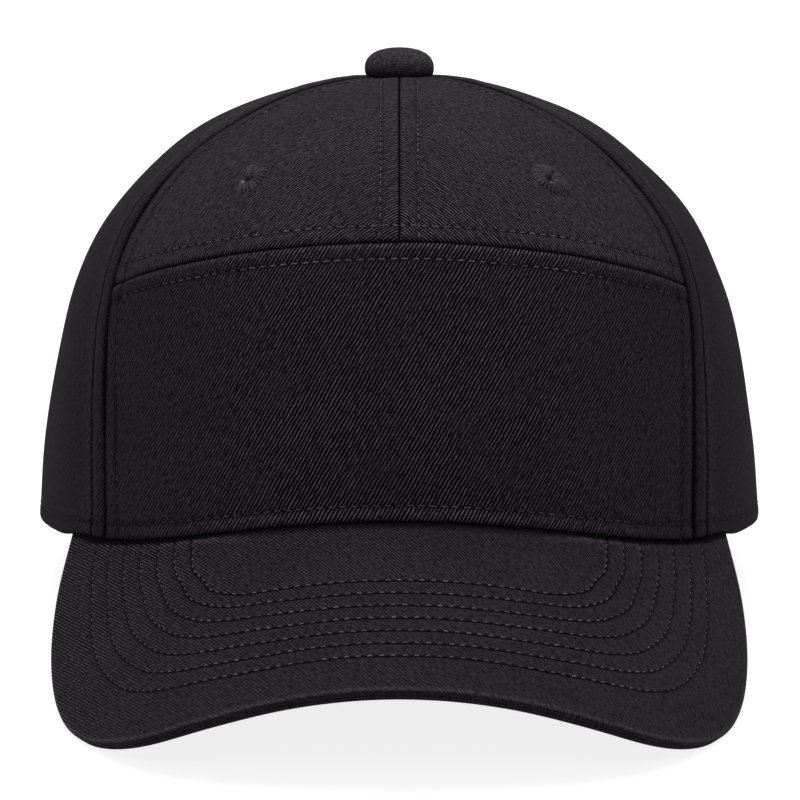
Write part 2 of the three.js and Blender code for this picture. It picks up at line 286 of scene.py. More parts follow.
class Panel:
    """A panel of the crown, between two seams and two levels, with an Edge or None on each side."""

    def __init__(self, seams, levels, edges, seed):
        self.seams = seams
        self.levels = levels
        self.edges = edges
        self.seed = seed
        self.steps = np.linspace(0, 1, PANEL_STEPS)
        across, up = np.meshgrid(self.steps, self.steps)
        coarse = crown_surface(*self.place(across, up))
        self.widths = spacings(coarse, 1).sum(1)
        self.heights = spacings(coarse).sum(0)

    def place(self, across, up, inset=0):
        start, end = (seam(0.5) for seam in self.seams)
        angle = start + (end - start) * across
        for _ in range(6):
            low, high = (level(angle, inset) for level in self.levels)
            level = low + (high - low) * up
            start, end = (seam(level) for seam in self.seams)
            angle = start + (end - start) * across
        return angle, level

    def width(self, up):
        return np.interp(up, self.steps, self.widths)

    def height(self, across):
        return np.interp(across, self.steps, self.heights)

    def shares(self):
        """Shares across and up of the panel's stops, in rows from its low edge up."""
        columns = cloth_stops(EDGE_STOPS, EDGE_STOPS, int(self.widths.max() / CLOTH_STEP))
        rows = cloth_stops(EDGE_STOPS, EDGE_STOPS, int(self.heights.max() / CLOTH_STEP))
        across, up = np.meshgrid(columns[0], rows[0])
        for _ in range(4):
            width, height = self.width(up), self.height(across)
            across = columns[0] + squeeze(width) * columns[1] / width
            up = rows[0][:, None] + squeeze(height) * rows[1][:, None] / height
        return across, up

    def cloth(self, across, up):
        """Points on the outer face, its normals, and the painted shade and highlights beside its seams and
        stitching.
        """
        angle, level = self.place(across, up)
        width, height = self.width(up), self.height(across)
        along_seams, along_rows = up * height, across * width
        relief = SWELL * unevenness(along_rows, along_seams, SWELL_LENGTH, self.seed)
        from_button = np.linalg.norm(crown_surface(angle, level)[..., :2], axis=-1)
        relief = relief - DIMPLE * hump(from_button, DIMPLE_WIDTH)
        relief = relief + BULGE * hump(from_button - BULGE_AT, BULGE_WIDTH)
        shade = 1 + 0 * level
        past_button = np.maximum(from_button - BUTTON_REACH, 0)
        seam_shade = 1 - BUTTON_SHADE * hump(past_button, BUTTON_SHADE_WIDTH)
        roll_down = 0
        distances = (along_rows, width - along_rows, along_seams, height - along_seams)
        for side, (edge, distance) in enumerate(zip(self.edges, distances)):
            if edge is None:
                continue
            along = along_seams if side < LOW else along_rows
            distance = distance / squeeze(width if side < LOW else height)
            near = np.clip(1 - distance / edge.roll, 0, 1)
            from_stitch = distance - edge.stitch_at
            roll_down = np.maximum(roll_down, edge.depth * (1 - np.sqrt(1 - near**2)))
            relief = relief + edge.pad * np.sin(math.pi * np.clip(distance / edge.stitch_at, 0, 1))
            relief = relief - edge.dip * hump(from_stitch, STITCH_DIP_WIDTH)
            pucker = unevenness(along, 0.4 * distance, PUCKER_LENGTH, self.seed + 10 * side)
            relief = relief + PUCKER * pucker * hump(from_stitch, PUCKER_WIDTH)
            # Painted shade black in the seam and in the crease by the thread, and a painted highlight
            # beside the edge.
            seam_shade = np.minimum(seam_shade, 1 - SEAM_PAINTED_SHADE * hump(distance, edge.dark))
            *sides, wide = edge.crease
            for way, depth in zip((-1, 1), sides):
                shade = shade * (1 - depth * hump(from_stitch - way * CREASE_ASIDE * wide, wide))
            in_front = fade_aside(angle / ARCH_END_ANGLE, 1.1, 1.6, 0.05) if side == LOW else 1
            lit_width = 0.3 + 0.4 * edge.lit_at
            shade = shade * (1 + edge.lit * in_front * hump(distance - edge.lit_at, lit_width))
        relief = np.maximum(relief - roll_down, -DEEPEST)
        shade = shade * seam_shade
        normal = crown_normal(angle, level)
        return crown_surface(angle, level) + relief[..., None] * normal, normal, shade

    def stitch_row(self, side, start=0, stop=1):
        """The topstitching beside one side of the panel: shares across and up, and its thread's tone."""
        steps = np.linspace(start, stop, ROW_STEPS)
        length = self.width(steps) if side < LOW else self.height(steps)
        share = self.edges[side].stitch_at * squeeze(length) / length
        share = share if side in (START, LOW) else 1 - share
        tone = 0 * steps + self.edges[side].thread
        return np.stack((share, steps, tone) if side < LOW else (steps, share, tone), -1)

    def stitch_line(self, row):
        """The points of a row of topstitching, the cloth's normals there and the thread's tones."""
        points, normals, _ = self.cloth(row[:, 0], row[:, 1])
        return points, normals, row[:, 2] * fade_aside(points[:, 0] / THREAD_FADES_AT, 1.15, 1, 0.35)


def turned(flat, degrees):
    turn = math.radians(degrees)
    return flat @ np.array([[math.cos(turn), -math.sin(turn)], [math.sin(turn), math.cos(turn)]])


def flat_cut(points, normals, rib_angle):
    """The cloth laid flat round its middle point, in millimetres along and across its twill's ribs."""
    middle = (points.shape[0] // 2, points.shape[1] // 2)
    out = normals[middle]
    right, upward = right_and_upward(out)
    from_middle = points - points[middle]
    flat = np.stack([from_middle @ right, from_middle @ upward], -1)
    turn = np.arccos(np.clip(normals @ out, -1, 1))
    arc = (turn / 2 + 1e-9) / np.sin(turn / 2 + 1e-9)
    chord = np.linalg.norm(from_middle, axis=-1)
    reach = np.maximum(np.linalg.norm(flat, axis=-1), 1e-9)
    return turned(flat * (chord * arc / reach)[..., None], rib_angle)


STAND_TILT = math.radians(10.1)
STAND_SHIFT = 26.16
STAND_LIFT = 17.3
FLOOR_CLEARANCE = 0.05
METRES = 0.001


def on_floor(points):
    """Cap millimetres as model metres; cloth that reaches the floor lies flat on it."""
    x, y, z = np.moveaxis(points, -1, 0)
    back = y * math.cos(STAND_TILT) + z * math.sin(STAND_TILT) + STAND_SHIFT
    up = z * math.cos(STAND_TILT) - y * math.sin(STAND_TILT) + STAND_LIFT
    return np.stack([x, back, np.maximum(up, FLOOR_CLEARANCE)], -1) * METRES


def add_object(name, data):
    thing = bpy.data.objects.new(name, data)
    scene.collection.objects.link(thing)
    return thing


def build(name, points, faces, material, flat, shade, ribs=None):
    """A smooth mesh from cap millimetres, with its flat cut, its shade and how clear its ribs are."""
    mesh = bpy.data.meshes.new(name)
    mesh.from_pydata(on_floor(points).tolist(), [], faces)
    mesh.shade_smooth()
    corners = np.zeros(len(mesh.loops), int)
    mesh.loops.foreach_get("vertex_index", corners)
    layer = mesh.uv_layers.new(name="flat_cut")
    layer.uv.foreach_set("vector", flat[corners].astype(np.float32).ravel())
    ribs = np.ones(len(points)) if ribs is None else ribs
    for kind, values in (("shade", shade), ("ribs", ribs)):
        attribute = mesh.attributes.new(kind, "FLOAT", "POINT")
        attribute.data.foreach_set("value", values.astype(np.float32))
    mesh.materials.append(material)
    return add_object(name, mesh)


def cloth_piece(name, outer, inner, material, flat, shade, ribs):
    """A closed cloth between two grids of points, both in rows from its low edge, left to right outside."""
    rows, columns = outer.shape[:2]
    number = np.arange(2 * rows * columns).reshape(2, rows, columns)
    faces = []

    def strip(first, second):
        faces.extend(np.stack([first[:-1], first[1:], second[1:], second[:-1]], -1).tolist())

    for row in range(rows - 1):
        strip(number[0, row], number[0, row + 1])
        strip(number[1, row + 1], number[1, row])
    strip(number[1, 0], number[0, 0])
    strip(number[0, -1], number[1, -1])
    strip(number[0, :, 0], number[1, :, 0])
    strip(number[1, :, -1], number[0, :, -1])
    points = np.concatenate([outer.reshape(-1, 3), inner.reshape(-1, 3)])
    flat = np.tile(flat.reshape(-1, 2), (2, 1))
    return build(name, points, faces, material, flat, np.tile(shade.ravel(), 2), np.tile(ribs.ravel(), 2))


class Paint:
    """A material of nodes; what goes into an input is a plain value or another node's output."""

    def __init__(self, name):
        self.material = bpy.data.materials.new(name)
        self.material.use_nodes = True
        self.tree = self.material.node_tree
        self.shader = self.tree.nodes["Principled BSDF"]

    def fill(self, node, inputs):
        for socket, value in inputs.items():
            if isinstance(value, bpy.types.NodeSocket):
                self.tree.links.new(value, node.inputs[socket])
            else:
                node.inputs[socket].default_value = value

    def node(self, kind, inputs, **settings):
        node = self.tree.nodes.new(f"ShaderNode{kind}")
        for setting, value in settings.items():
            setattr(node, setting, value)
        self.fill(node, inputs)
        return node

    def number(self, operation, *values, clamp=False):
        return self.node("Math", dict(enumerate(values)), operation=operation, use_clamp=clamp).outputs[0]

    def scaled(self, value, by, plus=0, clamp=False):
        return self.number("MULTIPLY_ADD", value, by, plus, clamp=clamp)

    def vector(self, operation, *values):
        return self.node("VectorMath", dict(enumerate(values)), operation=operation).outputs[0]

    def wave(self, turns):
        """A wave of -1 to 1 over each whole turn."""
        return self.number("SINE", self.scaled(turns, 2 * math.pi))

    def noise(self, place, spacing, detail=2):
        """Noise of about the given spacing in millimetres."""
        inputs = {"Vector": place, "Scale": 1 / spacing, "Detail": detail}
        return self.node("TexNoise", inputs).outputs["Fac"]

    def mix(self, dark, light, share, clamp):
        inputs = {"A": (*dark, 1), "B": (*light, 1), "Factor": share}
        return self.node("Mix", inputs, data_type="RGBA", clamp_factor=clamp).outputs["Result"]

    def attribute(self, name):
        return self.node("Attribute", {}, attribute_name=name).outputs["Fac"]

    def flat_cut(self):
        """The place on the cloth's flat cut, and its two parts."""
        place = self.node("UVMap", {}, uv_map="flat_cut").outputs[0]
        return place, *self.node("SeparateXYZ", {0: place}).outputs[:2]

    def finish(self, colour, shade, height, depth, roughness, specular):
        """Joins the shaded colour and the relief, as deep as given in millimetres, to the shader."""
        shaded = self.node("VectorMath", {0: colour, "Scale": shade}, operation="SCALE").outputs[0]
        bump = self.node("Bump", {"Distance": depth * METRES, "Height": height}).outputs[0]
        self.fill(self.shader, {"Base Color": shaded, "Normal": bump, "Roughness": roughness})
        self.fill(self.shader, {"Specular IOR Level": specular})
        return self.material


RIB_DRIFT = 1.1
RIB_WOBBLE = 0.34
FLOAT_LENGTH = 0.62
FLOAT_LAG = 0.38
FLOAT_RELIEF = 0.14
FIBRE_RELIEF = 0.5
STREAKS = 2.6
SPECKLE = 2.5
LEAST_TONE = 0.1
CREST_SHARPNESS = 2.6
MEAN_CREST = 0.28
WORN_PATCHES = 2.4
DYE_PATCHES = 0.35
DYE_LEAST = 0.82
TROUGH_ROUGHNESS = 0.96
CREST_POLISH = 0.12


def twill(name, dark, light, pitch, depth, clearness=0.9):
    """Cotton twill: slanting ribs of short floats, uneven in tone, worn, and with the painted light and
    shade that the mesh carries.
    """
    paint = Paint(name)
    place, along, over = paint.flat_cut()
    ribs = paint.scaled(paint.noise(place, 9), RIB_DRIFT, paint.scaled(over, 1 / pitch))
    ribs = paint.scaled(paint.noise(place, 1.3), RIB_WOBBLE, ribs)
    rib = paint.scaled(paint.wave(ribs), 0.5, 0.5)
    along_floats = paint.scaled(along, 1 / FLOAT_LENGTH)
    floats = paint.wave(paint.scaled(paint.number("FLOOR", ribs), FLOAT_LAG, along_floats))
    height = paint.scaled(floats, FLOAT_RELIEF, rib)
    height = paint.scaled(paint.noise(place, 0.3, 4), FIBRE_RELIEF, height)

    stretched = paint.vector("MULTIPLY", place, (0.5, 1.5, 1))
    uneven = paint.scaled(paint.noise(stretched, 1), STREAKS, 1 - (STREAKS + SPECKLE) / 2)
    uneven = paint.scaled(paint.noise(place, 0.8, 3), SPECKLE, uneven)
    uneven = paint.number("MAXIMUM", uneven, LEAST_TONE)
    least_clear = clearness - WORN_PATCHES / 2
    clear = paint.scaled(paint.noise(place, 16), WORN_PATCHES, least_clear, clamp=True)
    clear = paint.scaled(clear, paint.attribute("ribs"))
    crest = paint.number("SUBTRACT", paint.number("POWER", rib, CREST_SHARPNESS), MEAN_CREST)
    faded = paint.scaled(crest, clear, MEAN_CREST)
    colour = paint.mix(dark, light, paint.scaled(faded, uneven), clamp=False)
    patches = paint.scaled(paint.noise(place, 26), DYE_PATCHES, DYE_LEAST)
    shade = paint.scaled(paint.attribute("shade"), patches)
    roughness = paint.scaled(rib, -CREST_POLISH, TROUGH_ROUGHNESS)
    return paint.finish(colour, shade, height, depth, roughness, specular=0.03)


STITCH_PITCH = 2.6
STITCH_LENGTH = 1.8
THREAD_RADIUS = 0.17
STITCH_RINGS = 6
THREAD_SIDES = 6
THREAD_ARCH = 1.5
THREAD_SINK = 0.8
THREAD_TAPER = 0.45
THREAD_DARK = (0.03, 0.026, 0.03)
THREAD_LIGHT = (0.1, 0.093, 0.1)
PLY_PITCH = 0.5
PLY_DEPTH = 0.06
HOLE_LENGTH = 0.45
HOLE_WIDTH = 0.26
HOLE_LIFT = 0.12
HOLE_SHADE = 0.03
START_SPREAD = 0.12
LENGTH_SPREAD = (0.88, 1.08)
SWAY = 0.09
TONE_SWELL = 0.35
TONE_SWELL_LENGTH = 30
TONE_SPREAD = 0.3


def thread():
    """Polyester sewing thread of two plies, twisted, matt and a little paler than the cloth."""
    paint = Paint("thread")
    place, along, around = paint.flat_cut()
    plies = paint.wave(paint.scaled(along, 1 / PLY_PITCH, around))
    colour = paint.mix(THREAD_DARK, THREAD_LIGHT, paint.noise(place, 1.7), clamp=True)
    return paint.finish(colour, paint.attribute("shade"), plies, PLY_DEPTH, roughness=0.6, specular=0.04)


THREAD = thread()


def sew(name, lines, seed, stitch_length=STITCH_LENGTH):
    """Stitches along lines of points, normals and tones, between needle holes of painted shade."""
    draw = np.random.default_rng(seed)
    part = np.linspace(0, 1, STITCH_RINGS)
    arch = np.sqrt(np.sin(math.pi * part))
    lift = THREAD_RADIUS * (THREAD_ARCH * arch - THREAD_SINK)
    radius = THREAD_RADIUS * (1 - THREAD_TAPER + THREAD_TAPER * arch)
    turn = full_turn(THREAD_SIDES)
    cosine, sine = np.cos(turn)[:, None], np.sin(turn)[:, None]
    stitches, hole_shadows, flats, shades = [], [], [], []
    for points, normals, tones in lines:
        run = run_along(points)
        count = int(run[-1] / STITCH_PITCH)
        start = (np.arange(count) + 0.5 * (run[-1] / STITCH_PITCH - count)) * STITCH_PITCH
        start = start + draw.uniform(-START_SPREAD, START_SPREAD, count)
        length = stitch_length * draw.uniform(*LENGTH_SPREAD, count)[:, None]
        at = start[:, None] + (STITCH_PITCH - length) / 2 + length * part
        at = np.concatenate([at, start[:, None]], axis=1)
        middle = along_line(at, run, points)
        out = unit(along_line(at, run, normals))
        ahead = unit(middle[:, 1:2] - middle[:, :1])
        side = unit(np.cross(ahead, out))
        # Each needle hole is a flat near-black oval just over the cloth: painted shade in the hole.
        hole = middle[:, -1:] + HOLE_LIFT * out[:, -1:]
        hole = hole + HOLE_LENGTH * cosine * ahead + HOLE_WIDTH * sine * side[:, -1:]
        hole_shadows.append(hole.reshape(-1, 3))
        middle, out, side = middle[:, :-1], out[:, :-1], side[:, :-1]
        sway = draw.uniform(-SWAY, SWAY, count)[:, None, None] * (2 * part - 1)[:, None]
        middle = middle + sway * side + lift[:, None] * out
        ring = cosine * side[:, :, None] + sine * out[:, :, None]
        stitches.append((middle[:, :, None] + radius[:, None, None] * ring).reshape(-1, 3))
        flat = np.stack(np.broadcast_arrays(at[:, :-1, None], turn / (2 * math.pi)), -1)
        flats.append(flat.reshape(-1, 2))
        variation = 1 + TONE_SWELL * unevenness(start, 0, TONE_SWELL_LENGTH, seed)
        variation = variation + draw.uniform(-TONE_SPREAD, TONE_SPREAD, count)
        tone = np.interp(start, run, tones) * np.clip(variation, 0.3, 1.8)
        shades.append(np.repeat(tone, STITCH_RINGS * THREAD_SIDES))
    points, hole_shadows = np.concatenate(stitches), np.concatenate(hole_shadows)
    number = np.arange(len(points)).reshape(-1, STITCH_RINGS, THREAD_SIDES)
    after = np.roll(number, -1, axis=2)
    sides = np.stack([number[:, :-1], number[:, 1:], after[:, 1:], after[:, :-1]], -1).reshape(-1, 4)
    rounds = len(points) + np.arange(len(hole_shadows)).reshape(-1, THREAD_SIDES)
    faces = sides.tolist() + number[:, 0].tolist() + number[:, -1, ::-1].tolist() + rounds[:, ::-1].tolist()
    shade = np.concatenate([*shades, np.full(len(hole_shadows), HOLE_SHADE)])
    flat = np.concatenate([*flats, np.zeros((len(hole_shadows), 2))])
    piece = build(name, np.concatenate([points, hole_shadows]), faces, THREAD, flat, shade)
    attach(piece, "root")
    return piece


def finish_cloth(piece, node):
    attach(piece, "root")
    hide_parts(node)


def make_panel(name, panel, rib_angle, material, ribs_fade_at, tone=None, rows=None):
    """One panel with its stitching; its ribs fade aside, and painted light and shade change its tone by
    angle and level.
    """
    across, up = panel.shares()
    outer, normals, shade = panel.cloth(across, up)
    inner = crown_inside(*panel.place(across, up, CLOTH_WALL), CLOTH_WALL)
    place = panel.place(across, up)
    flat = flat_cut(crown_surface(*place), normals, rib_angle)
    ribs = fade_aside(outer[..., 0] / ribs_fade_at, 1.15, 0.9, 0.25)
    if tone is not None:
        shade = shade * tone(*place)
    piece = cloth_piece(f"{name}_cloth", outer, inner, material, flat, shade, ribs)
    rows = rows or [panel.stitch_row(side) for side in (START, END, LOW)]
    stitches = sew(f"{name}_stitches", [panel.stitch_line(row) for row in rows], panel.seed)
    finish_cloth(piece, name)
    return piece


front_twill = twill(
    "front_twill", (0.0012, 0.0003, 0.0012), (0.0455, 0.041, 0.0455),
    pitch=0.84, depth=0.16, clearness=1.02,
)
front = Panel(
    (other_side(front_seam), front_seam),
    (hem_level, arch_level),
    (SIDE_EDGE, SIDE_EDGE, FRONT_HEM_EDGE, UNDER_ARCH_EDGE),
    seed=1,
)
CORNER_TURN = 4


def turn_corner(first, second):
    """Joins two rows of stitching with a round corner."""
    before, after = first[-1], second[0]
    across, up = np.abs(before - first[-2])[:2]
    corner = np.array([before[0], after[1], after[2]] if up > across else [after[0], before[1], before[2]])
    part = np.linspace(0, 1, 20)[1:-1, None]
    bend = (1 - part) ** 2 * before + 2 * part * (1 - part) * corner + part**2 * after
    return np.concatenate([first, bend, second])


def front_painted_shade_and_light(angle, level):
    """Painted shade darker towards the sides, and painted light a little paler beside the hem."""
    return 1 - 0.16 * (angle / ARCH_END_ANGLE) ** 2 + 0.08 * hump(level, 0.2)


side_turn = (SIDE_EDGE.stitch_at + CORNER_TURN) / front.widths[-1]
top_turn = 1 - (UNDER_ARCH_EDGE.stitch_at + CORNER_TURN) / front.heights[0]
left_row, right_row = (front.stitch_row(side, 0, top_turn) for side in (START, END))
arch_row = front.stitch_row(HIGH, side_turn, 1 - side_turn)
over_arch = turn_corner(turn_corner(right_row, arch_row[::-1]), left_row[::-1])
held_by = ["peak", "sweatband"]
rows = [over_arch, front.stitch_row(LOW)]
make_panel("front_panel", front, 60, front_twill, 62, front_painted_shade_and_light, rows)


# Upper panels: two gores over the arched seam, meeting in the middle seam that climbs to the button. They
# are the same twill, cut with its ribs the other way on each side, and topstitched on every seam.

OVER_ARCH_EDGE = SIDE_EDGE._replace(
    roll=2, depth=1.2, pad=0.12, stitch_at=5.8, dark=0.9, lit=0, thread=1.5, crease=(0.85, 0.1, 0.32)
)
UPPER_SIDE_EDGE = SIDE_EDGE._replace(dark=1.7, lit=0)
CROWN_TOP_LEVEL = 0.985


def top_level(angle, inset=0):
    return CROWN_TOP_LEVEL + 0 * angle


def middle_seam(level):
    return 0 * level


# The same black twill as the front panel, but paler: painted light on panels that face up to the overhead
# light.
upper_twill = twill(
    "upper_twill", (0.0014, 0.0006, 0.0014), (0.067, 0.0605, 0.067),
    pitch=0.68, depth=0.12, clearness=1.1,
)
uppers = {}
for word, seams, rib_angle, seed in (
    ("left", (other_side(front_seam), middle_seam), 64, 2),
    ("right", (middle_seam, front_seam), -69, 3),
):
    name = f"upper_panel_{word}"
    sides = (UPPER_SIDE_EDGE, GORE_EDGE) if word == "left" else (GORE_EDGE, UPPER_SIDE_EDGE)
    panel = Panel(seams, (arch_level, top_level), (*sides, OVER_ARCH_EDGE, None), seed)
    held_by = [f"eyelet_{word}", "button"]
    uppers[word] = make_panel(name, panel, rib_angle, upper_twill, 80)


# Eyelets: a small hole punched in each upper panel and bound with satin stitches, laid side by side from
# the hole outwards on both faces of the cloth.

EYELET_ANGLE = 35.2
EYELET_LEVEL = 0.606
EYELET_HOLE = 2
EYELET_STRETCH = 1.2
EYELET_THREADS = 27
THREAD_STEPS = 8
THREAD_REACH = (-0.35, 0.2)
THREAD_FULLNESS = 0.08
THREAD_ROUND = 0.3
THREAD_TONE = 0.8
THREAD_TONE_SPREAD = 0.5
THREAD_GAP_SHADE = 0.85
THREAD_END_SHADE = 0.93
BINDING_FROM = -0.4
GLINT_TURN = math.radians(240)
GLINT_RADIUS = 1.35
GLINT_WIDTH = 0.3
GLINT = 6
PUNCH_SIDES = 24
PUNCH_REACH = 5
EYELET_PROFILE = (
    (1, -1), (0.98, -0.4), (1.05, 0), (1.3, 0.26), (1.75, 0.46), (2.35, 0.58),
    (2.95, 0.6), (3.5, 0.48), (3.95, 0.26), (4.25, 0), (4.35, -0.3), (3.6, -0.5),
    (2.2, -0.6), (1.95, -1.2), (2.2, -1.75), (3, -1.8), (3.15, -2), (2.6, -2.25),
    (1.7, -2.2), (1.2, -1.9),
)


def wound_piece(name, points, material, flat, shade, closed):
    """A mesh round an axis, from rings of points; closed rings make a tube, open ones get end caps."""
    rings, sides = points.shape[:2]
    number = np.arange(rings * sides).reshape(rings, sides)
    after = np.roll(number, -1, axis=1)
    above, above_after = (np.roll(grid, -1, axis=0) for grid in (number, after))
    quads = np.stack([number, after, above_after, above], -1)
    faces = (quads if closed else quads[:-1]).reshape(-1, 4).tolist()
    if not closed:
        faces += [number[0, ::-1].tolist(), number[-1].tolist()]
    return build(name, points.reshape(-1, 3), faces, material, flat.reshape(-1, 2), shade.ravel())


def pierce(cloth, centre, out, radius):
    """Punches a round hole through the cloth."""
    punch_mesh = bpy.data.meshes.new("punch")
    right, upward = right_and_upward(out)
    turns = full_turn(PUNCH_SIDES)[:, None]
    ring = centre + radius * (np.cos(turns) * right + np.sin(turns) * upward)
    points = on_floor(np.concatenate([ring - PUNCH_REACH * out, ring + PUNCH_REACH * out]))
    near = np.arange(PUNCH_SIDES)
    far, after = near + PUNCH_SIDES, np.roll(near, -1)
    walls = np.stack([near, after, after + PUNCH_SIDES, far], -1).tolist()
    punch_mesh.from_pydata(points.tolist(), [], [near[::-1].tolist(), far.tolist(), *walls])
    punch = add_object("punch", punch_mesh)
    cut = cloth.modifiers.new("hole", "BOOLEAN")
    cut.operation = "DIFFERENCE"
    cut.solver = "EXACT"
    cut.object = punch
    pierced = bpy.data.meshes.new_from_object(cloth.evaluated_get(bpy.context.evaluated_depsgraph_get()))
    cloth.modifiers.remove(cut)
    cloth.data = pierced
    bpy.data.objects.remove(punch)


draw = np.random.default_rng(20)
for word, side in (("left", -1), ("right", 1)):
    centre = crown_surface(side * EYELET_ANGLE, EYELET_LEVEL)
    out = crown_normal(side * EYELET_ANGLE, EYELET_LEVEL)
    right, upward = right_and_upward(out)
    pierce(uppers[word], centre, out, EYELET_HOLE)
    turns = full_turn(EYELET_THREADS * THREAD_STEPS)
    radius, rise = np.array(EYELET_PROFILE).T
    bound = (np.clip((radius - 0.9) / 1.2, 0, 1) * (rise > BINDING_FROM))[:, None]
    lay = np.abs(np.cos(turns * EYELET_THREADS / 2)) ** 0.6
    reach = np.repeat(draw.uniform(*THREAD_REACH, EYELET_THREADS), THREAD_STEPS)
    fullness = draw.uniform(-THREAD_FULLNESS, THREAD_FULLNESS, EYELET_THREADS)
    fullness = THREAD_ROUND * (lay - 0.5) + np.repeat(fullness, THREAD_STEPS)
    ring_radius = radius[:, None] + (radius[:, None] > 3.2) * reach
    ring_rise = rise[:, None] + bound * fullness
    around = np.cos(turns)[:, None] * right + EYELET_STRETCH * np.sin(turns)[:, None] * upward
    points = centre + ring_radius[..., None] * around + ring_rise[..., None] * out
    flat = np.stack(np.broadcast_arrays(radius[:, None], turns * EYELET_THREADS / (2 * math.pi)), -1)
    ends = (hump(radius - 4.1, 0.45) * (rise > BINDING_FROM))[:, None]
    spread = draw.uniform(-THREAD_TONE_SPREAD, THREAD_TONE_SPREAD, EYELET_THREADS)
    tone = THREAD_TONE * (1 + np.repeat(spread, THREAD_STEPS))
    shade = tone * (1 - THREAD_GAP_SHADE * (1 - lay) * bound) * (1 - THREAD_END_SHADE * (1 - lay**2) * ends)
    glint = (hump(radius - GLINT_RADIUS, GLINT_WIDTH) * (rise > 0))[:, None]
    shade = shade + GLINT * glint * hump(turns - GLINT_TURN, GLINT_WIDTH)
    eyelet = wound_piece(f"eyelet_{word}_binding", points, THREAD, flat, shade, closed=True)
    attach(eyelet, "root")
    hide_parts(f"eyelet_{word}")


# Side and back panels: four gores from the hem to the button, which close the crown round the head. The
# back pair meets in the rear seam, and their hem lies on the floor.


def back_seam(level):
    return 117 + 5 * level


def rear_seam(level):
    return 180 + 0 * level


FULL_EDGE = SIDE_EDGE._replace(
    roll=1.1, depth=1.15, pad=0.45, stitch_at=6.6, dip=0.62, dark=1, lit=0.35, lit_at=8,
    thread=1, crease=(0.5, 0.68, 0.4),
)


# Painted light: the side and back panels are paler towards the top.
def side_painted_light(angle, level):
    return 1.08 + 1.5 * level**3


# The same black twill as the front and upper panels, but darker: painted shade on the upright sides and
# back.
side_twill = twill(
    "side_twill", (0.0018, 0.001, 0.0018), (0.0335, 0.0297, 0.0335), pitch=0.7, depth=0.11
)
for place, near, far, near_edge, rib_angle, held_by, seed in (
    ("side", front_seam, back_seam, FULL_EDGE, 62, ["peak", "sweatband"], 4),
    ("back", back_seam, rear_seam, GORE_EDGE, 55, ["sweatband"], 6),
):
    for word in ("left", "right"):
        seams, edges, lean = (near, far), (near_edge, GORE_EDGE), -rib_angle
        if word == "left":
            seams, edges, lean = (other_side(far), other_side(near)), edges[::-1], rib_angle
        panel = Panel(seams, (hem_level, top_level), (*edges, HEM_EDGE, None), seed + (word == "right"))
        name = f"{place}_panel_{word}"
        make_panel(name, panel, lean, side_twill, 90, side_painted_light)


# Sweatband: a tape of woven cotton, folded over at the bottom and sewn inside the hem all the way round.

BAND_HEIGHT = 30
BAND_RISE = 0.8
BAND_INSET = 1.9
BAND_STEPS = 240
BAND_SWELL = 0.12
BAND_SWELL_LENGTH = 40
BAND_SECTION = (
    (0.35, 0), (0.08, 0.02), (0, 0.06), (0, 0.35), (0, 0.65), (0, 0.95), (0.3, 1),
    (0.9, 1), (1.15, 0.97), (1.1, 0.7), (1.2, 0.4), (1.25, 0.15), (1.4, 0.1),
    (1.4, 0.02), (1.1, 0),
)

band_tape = twill("band_tape", (0.004, 0.004, 0.004), (0.03, 0.028, 0.03), pitch=0.55, depth=0.08)
angles = np.linspace(-180, 180, BAND_STEPS, endpoint=False)
section = []
for thickness, part in BAND_SECTION:
    swell = BAND_SWELL * part * unevenness(angles, 0, BAND_SWELL_LENGTH, 8)
    inset = BAND_INSET + thickness + swell
    low = BAND_RISE + crown_size(CROWN_HEIGHT, hem_level(angles, BAND_INSET), 1)
    level = level_at(low + (BAND_HEIGHT - low) * part)
    section.append(crown_inside(angles, level, inset))
points = np.array(section)
flat = np.stack(np.broadcast_arrays(
    np.radians(angles) * CROWN_FRONT[0],
    np.array([part * BAND_HEIGHT for _, part in BAND_SECTION])[:, None],
), -1)
shade = np.ones(points.shape[:2])
band = wound_piece("sweatband_tape", points, band_tape, flat, shade, closed=True)
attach(band, "root")
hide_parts("sweatband")


# Peak: a stiff curved board between two layers of black twill, sewn round the outer edge and turned out,
# then stitched through in seven rows that follow the edge and run in under the hem of the front panel.

PEAK_OUTLINE = (
    (0, 63.2), (24, 62.4), (44, 60), (61, 54.7), (74, 45.4), (83.6, 33),
    (89.2, 18.4), (91.4, 0), (89.7, -20), (84.4, -41.6),
)
OUTER_ROW = (
    (0, 50.6), (12.9, 50.2), (24.1, 49.6), (35.7, 48.1), (54, 42.4), (60.8, 38.4),
    (66.7, 32.8), (71.2, 25.3), (75.3, 14.7), (77.2, 2.1), (77.4, -9), (77.1, -22),
    (76.1, -31),
)
INNER_ROW = (
    (0, 21.6), (13.2, 21.2), (25.7, 20), (34.6, 18.5), (38.8, 16.5), (43.8, 12.3),
    (45.9, 7.3), (48.6, 1.6), (49.1, -7),
)
ROW_COUNT = 7
PEAK_COLUMNS = 281
PEAK_EDGE = (
    (0.25, 0.03), (0.06, 0.12), (0, 0.32), (0, 0.75), (0.06, 1.08), (0.2, 1.34),
    (0.45, 1.52), (0.8, 1.59), (1.3, 1.6), (2, 1.6), (3, 1.6),
)
ROW_STOPS = np.array([0, 0.2, 0.4, 0.6, 0.85, 1.3])
PEAK_PAD = 0.06
PEAK_DIP = 0.26
PEAK_DIP_WIDTH = 0.36
PEAK_RIB_ANGLE = -56
PEAK_STITCH_LENGTH = 1.35
PEAK_STITCH_SHIFT = 0.34
PEAK_THREAD_TONE = 1.65
PEAK_STITCH_CENTRE = -40
PEAK_RUN = 260
PEAK_PUCKER = 0.03
PLAIN_PUCKER = 0.04
ROW_SHADE = 0.88
ROW_SHADE_WIDTH = 0.46
PRESSED_WITHIN = 1.5
PRESSED_FADE = 6
